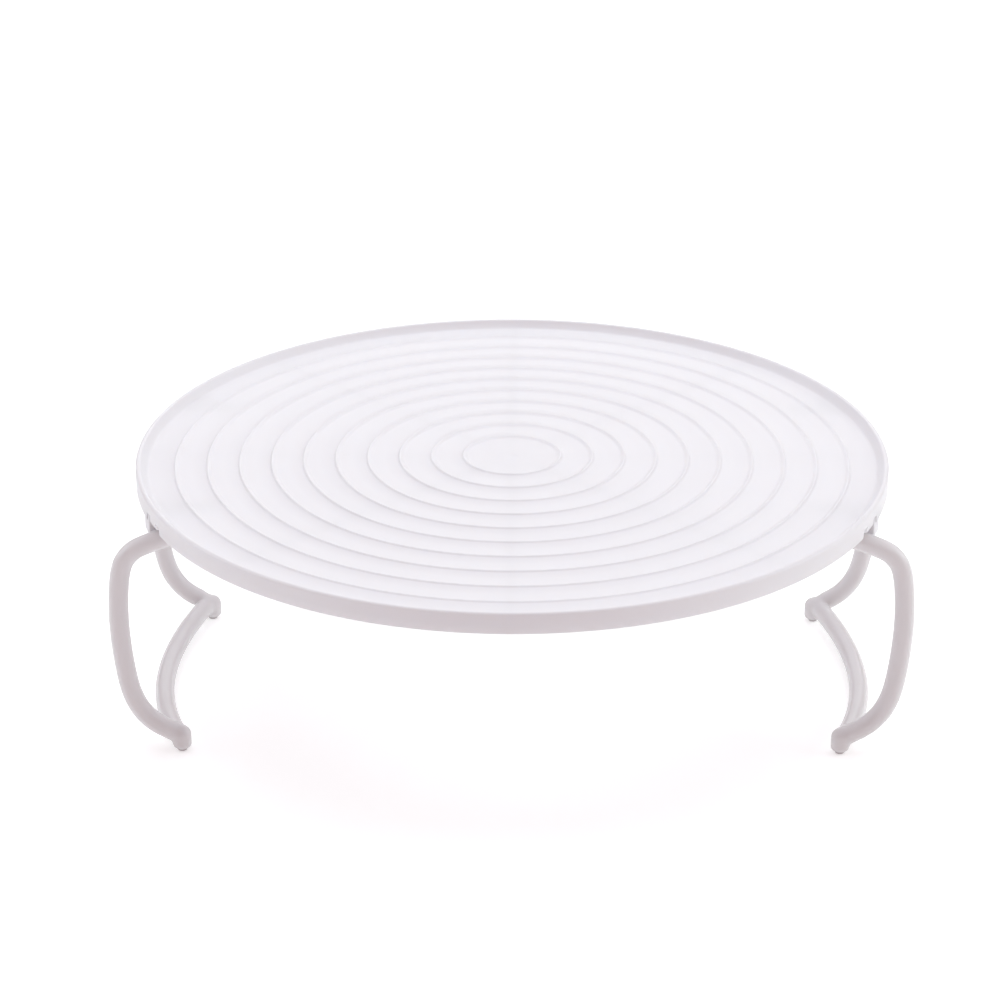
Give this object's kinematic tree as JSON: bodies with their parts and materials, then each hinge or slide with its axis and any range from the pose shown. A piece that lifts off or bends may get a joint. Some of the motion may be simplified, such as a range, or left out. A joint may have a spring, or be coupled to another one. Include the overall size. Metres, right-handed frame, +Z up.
{
  "type": "folding plate rack",
  "caption": "Round ribbed plastic plate rack: a shallow lipped tray with raised rings on two bent-rod leg frames that fold flat beneath it.",
  "frame": {"origin": "on the surface the feet stand on, under the centre of the tray", "axes": "+Z up out of the tray's deck; +X from the left leg frame towards the right leg frame; +Y towards the back; both hinge lines run along Y"},
  "size_m": [0.245, 0.235, 0.0825],
  "materials": {
    "tray_plastic": "white moulded polypropylene, satin to semi-gloss",
    "leg_plastic": "white moulded polypropylene, semi-gloss, a little warmer in shade",
    "keeper_plastic": "white moulded plastic, satin",
    "pad_rubber": "soft pale grey elastomer, matt"
  },
  "bodies": {
    "tray_body": {"tray": "tray_plastic", "hinge_keeper_left_front": "keeper_plastic", "hinge_keeper_left_back": "keeper_plastic", "hinge_keeper_right_front": "keeper_plastic", "hinge_keeper_right_back": "keeper_plastic"},
    "left_leg": {"leg_frame_left": "leg_plastic", "foot_pad_left_front": "pad_rubber", "foot_pad_left_back": "pad_rubber"},
    "right_leg": {"leg_frame_right": "leg_plastic", "foot_pad_right_front": "pad_rubber", "foot_pad_right_back": "pad_rubber"}
  },
  "joints": [
    {"name": "left_leg_fold", "type": "hinge", "parent": "tray_body", "child": "left_leg", "pos_m": [-0.098, 0, 0.0744], "axis": [0, -1, 0], "range_deg": [0, 94]},
    {"name": "right_leg_fold", "type": "hinge", "parent": "tray_body", "child": "right_leg", "pos_m": [0.098, 0, 0.0744], "axis": [0, 1, 0], "range_deg": [0, 94]}
  ]
}
